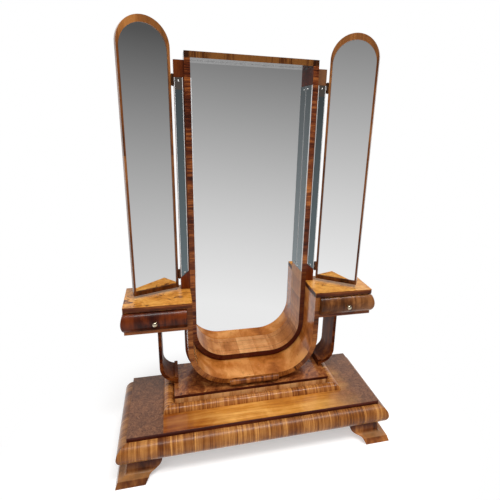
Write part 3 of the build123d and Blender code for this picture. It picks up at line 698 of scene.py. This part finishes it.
class MIRROR_OT_plinth(bpy.types.Operator):
    """Plinth: burl panel, cross-banded mouldings, carcass and feet"""

    bl_idname = "mirror.plinth"
    bl_label = "Plinth"

    def execute(self, context):
        shades = context.scene.mirror_colours
        sizes = context.scene.mirror_sizes
        low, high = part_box("plinth_top")
        made, tree = material("plinth_panel")
        place = tree.place()
        x = tree.axis(0)
        ends, relief = burl(tree, place, tones(shades, "burl"), size=1.0)
        # The golden sheet in front of the step is a golden veneer whose brightness is also a
        # painted pool of light thrown down by the main mirror.
        gold, _ = wood(
            tree, place, tones(shades, "gold"),
            grain=(5.0, 95.0, 20.0), sheet=1.7, spread=0.1, figure=0.8, offset=0.45,
        )
        start = -0.386  # left end of the golden sheet, under the step's moulding
        lead = 0.034  # how much further left it starts in front of the step
        shaded_left = (-0.38, -0.12)  # where its painted light dims towards the reddish left end
        fade = (0.26, 0.5)  # where its painted pool of light fades to burl on the right
        waver = (tree.noise(place, scale=6.0, detail=3.0) - 0.5) * 0.25
        tucked = 0.004  # how far the sheet's corner lies under the step's moulding
        ahead = before(tree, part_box("step_moulding_front")[0].y + tucked)
        middle = tree.smooth(x + ahead * lead, start, start + 0.001)
        middle = middle * (1.0 - tree.smooth(x + waver, *fade))
        gold = tree.recoloured(1.0 - tree.smooth(x + waver, *shaded_left), gold, "gold_left_shade")
        face = tree.mix(middle, ends, gold)
        rim, _ = wood(
            tree, place, tones(shades, "edge"),
            grain=(8.0, 60.0, 160.0), sheet=1.9, spread=0.1, figure=0.4,
        )
        face = tree.mix(under(tree, high.z), face, rim)
        face = edge_wear_and_highlight(tree, face, shades.burl_light, (low, high), amount=0.35)
        polish(tree, face, relief)
        dress(made, "plinth_top")
        for name, line, places in MOULDINGS:
            made, tree = material(f"plinth_moulding_{name}")
            face, relief = wood(
                tree, line(tree), tones(shades, "bull"),
                grain=(420.0, 5.0, 5.0), sheet=sizes.plinth_sheet, spread=0.15, figure=0.45,
                offset=0.8, fine=1.25, broad=0.8,
            )
            slow = tree.noise(
                tree.vector("MULTIPLY", line(tree), (11.0, 0.6, 0.6)),
                scale=1.0, detail=2.0, roughness=0.6,
            )
            face = tree.recoloured(tree.smooth(slow, 0.5, 0.6) * 0.9, face, "moulding_zone")
            # Painted shade: the side mouldings are made darker and a little bluer than the front
            # one.
            if name == "side":
                face = tree.recoloured(1.0, face, "moulding_side")
            polish(tree, face, relief, rough=0.34, coat=0.28, coat_rough=0.3)
            dress(made, *(f"plinth_moulding_{end}" for end in places))
        for side in SIDES:
            for end in ("front", "rear"):
                name = f"foot_{end}_{side}"
                made, tree = material(name)
                face, relief = wood(
                    tree, along_z(tree), tones(shades, "rim"),
                    grain=(7.0, 60.0, 60.0), sheet=0.9, spread=0.2, figure=0.7,
                )
                # The dark edge veneer serves only for the painted shadow under the plinth's
                # moulding.
                rim, _ = wood(
                    tree, along_z(tree), tones(shades, "edge"),
                    grain=(7.0, 60.0, 60.0), sheet=0.9, spread=0.2, figure=0.4,
                )
                # Painted light: the right feet are made paler and greyer, the left a little darker,
                # as lit and shaded copies of one veneer.
                face = tree.recoloured(1.0, face, f"foot_{side}")
                z = tree.axis(2)
                moulding_shadow = tree.smooth(z, 0.05, 0.075)  # painted shadow of the plinth's moulding, right under the plinth
                face = tree.mix(moulding_shadow * 0.7, face, rim)
                shelf_highlight = tree.between(z, 0.0255, 0.0275, 0.031, 0.04)  # painted highlight on the shelf over the block
                face = tree.mix(shelf_highlight * 0.28, face, shades.lining_light)
                # Painted highlights along the foot's edges, together with rubbed polish.
                face = edge_wear_and_highlight(tree, face, shades.rim_light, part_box(name))
                polish(tree, face, relief)
                dress(made, name)
        made, tree = material("carcass")
        face, relief = wood(
            tree, along_x(tree), tones(shades, "plain"),
            grain=(4.0, 110.0, 110.0), sheet=2.0, spread=0.2, figure=0.5,
        )
        polish(tree, face, relief, rough=0.62, coat=0.0, relief=0.5, level=0.3)
        dress(made, "plinth_front_rail", "plinth_back_rail", "plinth_ends")
        dress(made, "base_pad", "cabinet_backs")
        made, tree = material("back_panels")
        face, relief = wood(
            tree, along_z(tree), tones(shades, "plain"),
            grain=(3.0, 90.0, 90.0), sheet=2.4, spread=0.1, figure=0.3,
        )
        polish(tree, face, relief, rough=0.62, coat=0.0, relief=0.5, level=0.3)
        dress(made, "back_board", "side_back_left", "side_back_right")
        return {"FINISHED"}


class MIRROR_OT_step(bpy.types.Operator):
    """Step on the plinth: panel, fascia and half-round mouldings"""

    bl_idname = "mirror.step"
    bl_label = "Step"

    def execute(self, context):
        shades = context.scene.mirror_colours
        sizes = context.scene.mirror_sizes
        low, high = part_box("step_top")
        made, tree = material("step_panel")
        face, relief = burl(tree, tree.place(), tones(shades, "step"), size=2.2)
        rim, _ = wood(
            tree, along_x(tree), tones(shades, "edge"),
            grain=(8.0, 60.0, 160.0), sheet=1.9, spread=0.1, figure=0.4,
        )
        face = tree.mix(under(tree, high.z), face, rim)
        face = edge_wear_and_highlight(tree, face, shades.burl_light, (low, high), amount=0.35)
        polish(tree, face, relief)
        dress(made, "step_top")
        made, tree = material("step_fascia")
        face, relief = wood(
            tree, along_x(tree), tones(shades, "lining"),
            grain=(110.0, 8.0, 8.0), sheet=0.12, spread=0.35, figure=0.7,
        )
        polish(tree, face, relief)
        dress(made, "step_core")
        for name, line, places in MOULDINGS:
            made, tree = material(f"step_moulding_{name}")
            face, relief = wood(
                tree, line(tree), tones(shades, "band"),
                grain=(420.0, 6.0, 6.0), sheet=sizes.step_sheet, spread=0.2, figure=0.4, offset=0.6,
                fine=1.2, broad=1.1,
            )
            polish(tree, face, relief)
            dress(made, *(f"step_moulding_{end}" for end in places))
        return {"FINISHED"}


class MIRROR_OT_ribbon(bpy.types.Operator):
    """Ribbon, its toe moulding and the supports of the cabinets"""

    bl_idname = "mirror.ribbon"
    bl_label = "Ribbon"

    def execute(self, context):
        shades = context.scene.mirror_colours
        sizes = context.scene.mirror_sizes
        low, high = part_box("ribbon")
        made, tree = material("ribbon_board")
        corner = 0.1928  # from the outer faces to the centre of the bend
        line = bent(tree, high.x - corner, low.z + corner, radius=0.18)
        face, relief = wood(
            tree, line, tones(shades, "inner"),
            grain=(9.0, 14.0, 5.0), sheet=sizes.ribbon_sheet, spread=0.15, figure=1.3,
        )
        rim, _ = wood(
            tree, line, tones(shades, "rim"),
            grain=(190.0, 14.0, 14.0), sheet=0.2, spread=0.3, figure=0.6,
        )
        front = before(tree, low.y + SKIN)
        x = tree.axis(0)
        rim = tree.recoloured(tree.smooth(tree.maths("ABSOLUTE", x), 0.36, 0.5), rim, "ribbon_arms")
        face = tree.recoloured(tree.smooth(x, 0.4, 0.5), face, "ribbon_right")
        face = tree.mix(front, face, rim)
        polish(tree, face, relief, rough=0.22, coat=0.8 - front * 0.65)
        dress(made, "ribbon")
        made, tree = material("toe_banding")
        face, relief = wood(
            tree, along_x(tree), tones(shades, "rim"),
            grain=(300.0, 6.0, 6.0), sheet=0.4, spread=0.3, figure=0.4,
        )
        polish(tree, face, relief)
        dress(made, "toe_moulding")
        for side in SIDES:
            made, tree = material(f"support_{side}")
            low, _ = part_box(f"support_{side}")
            face, relief = wood(
                tree, along_z(tree), tones(shades, "rim"),
                grain=(5.0, 40.0, 40.0), sheet=0.8, spread=0.2, figure=0.9,
            )
            rim, _ = wood(
                tree, along_z(tree), tones(shades, "front"),
                grain=(90.0, 8.0, 8.0), sheet=0.3, spread=0.2, figure=0.6,
            )
            face = tree.mix(before(tree, low.y + SKIN), face, rim)
            face = tree.recoloured(1.0, face, "support")
            polish(tree, face, relief, rough=0.5, coat=0.02, level=0.05)
            dress(made, f"support_{side}")
        return {"FINISHED"}


class MIRROR_OT_main_frame(bpy.types.Operator):
    """Deep frame of the main mirror, its lining and the wings"""

    bl_idname = "mirror.main_frame"
    bl_label = "Main frame"

    def execute(self, context):
        shades = context.scene.mirror_colours
        sizes = context.scene.mirror_sizes
        low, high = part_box("frame_u")
        made, tree = material("frame_board")
        corner = 0.169  # from the outer faces to the centre of the bend
        line = bent(tree, high.x - corner, low.z + corner, radius=0.157)
        face, relief = wood(
            tree, line, tones(shades, "lining"),
            grain=(16.0, 60.0, 9.0), sheet=sizes.lining_sheet, spread=0.1, figure=0.7, offset=0.5,
            fine=0.9, broad=0.8,
        )
        rim, _ = wood(
            tree, line, tones(shades, "front"),
            grain=(300.0, 14.0, 14.0), sheet=0.24, spread=0.3, figure=0.6, offset=0.0, fine=1.5,
        )
        x, y, z = tree.parts(tree.place())
        bend = (low.z + 0.05, low.z + 0.2)  # heights where the dark lower end of the edge fades
        cabinet = (0.72, 0.86)  # and the dark part beside the right cabinet
        right = tree.smooth(x, -0.05, 0.05)
        rim = tree.mix((1.0 - tree.smooth(z, *bend)) * 0.9, rim, shades.edge_mid)
        rim = tree.recoloured(right, rim, "stile_right")
        rim = tree.mix(right * (1.0 - tree.smooth(z, *cabinet)) * 0.85, rim, shades.edge_mid)
        strip_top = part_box("lining_glass_strips")[1].z
        over = tree.smooth(z, strip_top, strip_top + 0.001)
        face = tree.recoloured(over, face, "lining_top")
        face = tree.mix(before(tree, low.y + SKIN), face, rim)
        inlay = 0.036  # from the front edge to the dark line along the lining
        away = tree.maths("ABSOLUTE", y - (low.y + inlay))
        face = tree.mix((1.0 - tree.smooth(away, 0.0006, 0.0014)) * 0.85, face, shades.front_dark)
        polish(tree, face, relief, coat=sizes.polish * (1.0 - over * 0.8))
        dress(made, "frame_u")
        made, tree = material("frame_rail")
        low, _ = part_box("frame_top_rail")
        face, relief = wood(
            tree, along_x(tree), tones(shades, "rim"),
            grain=(170.0, 8.0, 8.0), sheet=0.09, spread=0.9, figure=0.6, offset=0.2, fine=1.7,
            broad=1.9,
        )
        face = tree.recoloured(1.0, face, "rail")
        glazed = under(tree, low.z + BLUR) * (1.0 - before(tree, low.y + SKIN))
        underside_shade = 0.3  # painted shade: the glazed underside's silvering darkened to this share of the silvering colour
        face = tree.mix(glazed, face, tuple(underside_shade * v for v in shades.silver))
        polish(
            tree, face, relief,
            rough=0.34 - glazed * 0.3, coat=0.15 * (1.0 - glazed), metallic=glazed,
        )
        dress(made, "frame_top_rail")
        for side in SIDES:
            made, tree = material(f"wing_{side}")
            face, relief = wood(
                tree, along_z(tree), tones(shades, "wing"),
                grain=(5.0, 55.0, 30.0), sheet=1.6, spread=0.1, figure=0.9, offset=0.4,
            )
            rise = (0.75, 1.45)  # heights where the wing's darker foot fades
            upper = tree.smooth(tree.axis(2), *rise)
            face = tree.recoloured(1.0 - upper, face, "wing_foot")
            if side == "left":
                face = tree.recoloured(upper, face, "wing_left")
            else:
                grey_brown = srgb(100, 74, 52)
                face = tree.mix(upper * 0.75, face, grey_brown)
            polish(tree, face, relief)
            dress(made, f"wing_{side}")
        return {"FINISHED"}


class MIRROR_OT_glass(bpy.types.Operator):
    """Mirror glass, glass strips, screws and hinges"""

    bl_idname = "mirror.glass"
    bl_label = "Glass and metal"

    def execute(self, context):
        shades = context.scene.mirror_colours
        # Share of the silver colour in each mirror's silvering; the side mirrors' smaller shares
        # are painted shade.
        silver_dimming = {"main_mirror": 1.0, "side_mirror_left": 0.87, "side_mirror_right": 0.98}
        for name, dimming in silver_dimming.items():
            shade = tuple(dimming * v for v in shades.silver)
            dress(mirror_glass(f"{name}_silver", shade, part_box(name)), name)
        smoke, silver = tuple(shades.smoke), tuple(shades.silver)
        width = 0.0337  # of a strip on a wing
        _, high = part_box("wing_glass_strips")
        self.strip("wing_glass_strips", smoke, silver, 0, high.x - width, high.x, high.z)
        low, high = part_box("lining_glass_strips")
        self.strip("lining_glass_strips", smoke, silver, 1, low.y, high.y)
        dress(metal("screw_chrome", tuple(shades.chrome), rough=0.42, grain=300.0), "strip_screws")
        hinge = metal("hinge_metal", tuple(shades.steel), rough=0.35, grain=120.0)
        dress(hinge, "hinge_leaves_fixed", "hinge_leaves_left", "hinge_leaves_right")
        dress(hinge, "hinge_pins", "hinge_screws")
        knob = metal("knob_brass", tuple(shades.brass), rough=0.24, grain=180.0)
        dress(knob, "knob_left", "knob_right")
        return {"FINISHED"}

    def strip(self, name, shade, pale, number, inner, outer, top=None):
        """Grey silvered glass with ground edges: pale lines with a dark line beside them.

        The edges lie at inner and outer on the numbered coordinate. With a top, the last 45 mm
        under it are browner.
        """
        made, tree = material(f"{name}_silver")
        across = tree.axis(number)
        if number == 0:
            across = tree.maths("ABSOLUTE", across)
        near = tree.maths("ABSOLUTE", across - inner)
        edge = tree.maths("MINIMUM", near, tree.maths("ABSOLUTE", outer - across))
        cloud = tree.noise(tree.place(), scale=9.0, detail=3.0, roughness=0.6)
        ground = 1.0 - tree.smooth(edge, 0.0022, 0.003)
        line = tree.between(edge, 0.0028, 0.0034, 0.0042, 0.005)
        base = tree.mix(cloud * 0.3, shade, tuple(0.8 * v for v in shade))
        base = tree.mix(line * 0.6, base, tuple(0.3 * v for v in shade))
        if top:
            brown = srgb(150, 128, 112)
            head = tree.smooth(tree.axis(2), top - 0.046, top - 0.044)
            base = tree.mix(head * 0.6, base, brown)
        sockets = {
            "Base Color": tree.mix(ground * 0.75, base, pale),
            "Metallic": 1.0 - ground * 0.7,
            "Roughness": 0.05 + cloud * 0.03 + ground * 0.3,
        }
        shader = tree.node("ShaderNodeBsdfPrincipled", None, sockets)
        tree.node("ShaderNodeOutputMaterial", None, {"Surface": shader})
        dress(made, name)


class MIRROR_OT_cabinets(bpy.types.Operator):
    """Cabinets: figured tops, dark edges, swelling sides"""

    bl_idname = "mirror.cabinets"
    bl_label = "Cabinets"

    def execute(self, context):
        shades = context.scene.mirror_colours
        sizes = context.scene.mirror_sizes
        for side in SIDES:
            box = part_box(f"cabinet_top_{side}")
            made, tree = material(f"cabinet_top_{side}")
            face, relief = flamed(
                tree, tree.place(), tones(shades, "slab"), stretch=(5.0, 16.0, 12.0), veins=0.5
            )
            rim, _ = wood(
                tree, along_x(tree), tones(shades, "front"),
                grain=(6.0, 60.0, 140.0), sheet=1.9, spread=0.1, figure=0.5,
            )
            border = box[1].z - 0.009  # the edge is darker below this height, leaving a paler line along the top
            rim = tree.recoloured(under(tree, border), rim, "top_edge")
            face = tree.mix(under(tree, box[1].z), face, rim)
            face = edge_wear_and_highlight(tree, face, shades.slab_mid, box)
            polish(tree, face, relief, coat=sizes.polish * 0.5)
            dress(made, f"cabinet_top_{side}")
            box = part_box(f"cabinet_floor_{side}")
            made, tree = material(f"cabinet_floor_{side}")
            face, relief = wood(
                tree, along_x(tree), tones(shades, "front"),
                grain=(6.0, 50.0, 120.0), sheet=1.9, spread=0.1, figure=0.6,
            )
            face = edge_wear_and_highlight(tree, face, shades.front_light, box)
            polish(tree, face, relief)
            dress(made, f"cabinet_floor_{side}")
            made, tree = material(f"cabinet_side_{side}")
            face, relief = wood(
                tree, along_z(tree), tones(shades, "drawer"),
                grain=(5.0, 45.0, 45.0), sheet=1.3, spread=0.1, figure=1.0,
            )
            polish(tree, face, relief)
            dress(made, f"cabinet_outer_side_{side}", f"cabinet_inner_side_{side}")
        return {"FINISHED"}


class MIRROR_OT_drawers(bpy.types.Operator):
    """Drawers: cushion-shaped fronts and plain insides"""

    bl_idname = "mirror.drawers"
    bl_label = "Drawers"

    def execute(self, context):
        shades = context.scene.mirror_colours
        for side, sign in SIDES.items():
            made, tree = material(f"drawer_front_{side}")
            veneer = tones(shades, "drawer" if side == "left" else "cushion")
            face, relief = wood(
                tree, along_x(tree), veneer,
                grain=(75.0, 9.0, 9.0), sheet=1.9, spread=0.1, figure=1.5, offset=0.45,
            )
            paler = (0.47, 0.57)  # distances from the middle where the front turns paler
            outer = tree.smooth(tree.axis(0) * sign, *paler)
            face = tree.mix(outer * 0.45, face, veneer[2])
            polish(tree, face, relief, rough=0.32, coat=0.16)
            dress(made, f"drawer_front_{side}")
        made, tree = material("drawer_wood")
        face, relief = wood(
            tree, along_y(tree), tones(shades, "plain"),
            grain=(4.0, 120.0, 120.0), sheet=1.0, spread=0.3, figure=0.4,
        )
        polish(tree, face, relief, rough=0.55, coat=0.05, relief=0.5, level=0.35)
        for side in SIDES:
            dress(made, f"drawer_sides_{side}", f"drawer_back_{side}", f"drawer_bottom_{side}")
        return {"FINISHED"}


class MIRROR_OT_side_frames(bpy.types.Operator):
    """Arched frames of the side mirrors"""

    bl_idname = "mirror.side_frames"
    bl_label = "Side frames"

    def execute(self, context):
        shades = context.scene.mirror_colours
        for side in SIDES:
            _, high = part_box(f"side_frame_{side}")
            made, tree = material(f"side_frame_{side}")
            z = tree.axis(2)
            face, relief = wood(
                tree, along_z(tree), tones(shades, "arch"),
                grain=(8.0, 70.0, 70.0), sheet=1.3, spread=0.1, figure=0.7,
            )
            top = tree.smooth(z, high.z - 0.14, high.z - 0.03)
            face = tree.mix(top * 0.35, face, shades.arch_light)
            darker = (1.0, 1.65)  # heights where the darker foot fades
            face = tree.recoloured(1.0 - tree.smooth(z, *darker), face, "arch_foot")
            polish(tree, face, relief)
            dress(made, f"side_frame_{side}")
        return {"FINISHED"}


OPERATORS = (
    MIRROR_OT_stage,
    MIRROR_OT_plinth,
    MIRROR_OT_step,
    MIRROR_OT_ribbon,
    MIRROR_OT_main_frame,
    MIRROR_OT_glass,
    MIRROR_OT_cabinets,
    MIRROR_OT_drawers,
    MIRROR_OT_side_frames,
)


class MIRROR_PT_panel(bpy.types.Panel):
    """Buttons for each group of pieces, and their colours and sizes"""

    bl_idname = "MIRROR_PT_panel"
    bl_label = "Dressing mirror"
    bl_space_type = "VIEW_3D"
    bl_region_type = "UI"
    bl_category = "Dressing mirror"

    def draw(self, context):
        for operator in OPERATORS:
            self.layout.operator(operator.bl_idname)
        for owner in GROUPS:
            group = getattr(context.scene, owner)
            for name in group.bl_rna.properties.keys():
                if name not in ("rna_type", "name"):
                    self.layout.prop(group, name)


GROUPS = {
    "mirror_sizes": VeneerSizes,
    "mirror_stage": StageSettings,
    "mirror_colours": VeneerColours,
}


def register():
    for made in (*GROUPS.values(), *OPERATORS, MIRROR_PT_panel):
        bpy.utils.register_class(made)
    for name, group in GROUPS.items():
        setattr(bpy.types.Scene, name, bpy.props.PointerProperty(type=group))


def unregister():
    for name in GROUPS:
        delattr(bpy.types.Scene, name)
    for made in (MIRROR_PT_panel, *reversed(OPERATORS), *GROUPS.values()):
        bpy.utils.unregister_class(made)


def corners():
    """Both corners of the object's box, as plain lists."""
    return [[float(v) for v in corner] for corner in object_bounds()]


def main():
    register()
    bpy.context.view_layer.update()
    for operator in OPERATORS:
        family, name = operator.bl_idname.split(".")
        getattr(getattr(bpy.ops, family), name)()


if __name__ == "__main__":
    main()
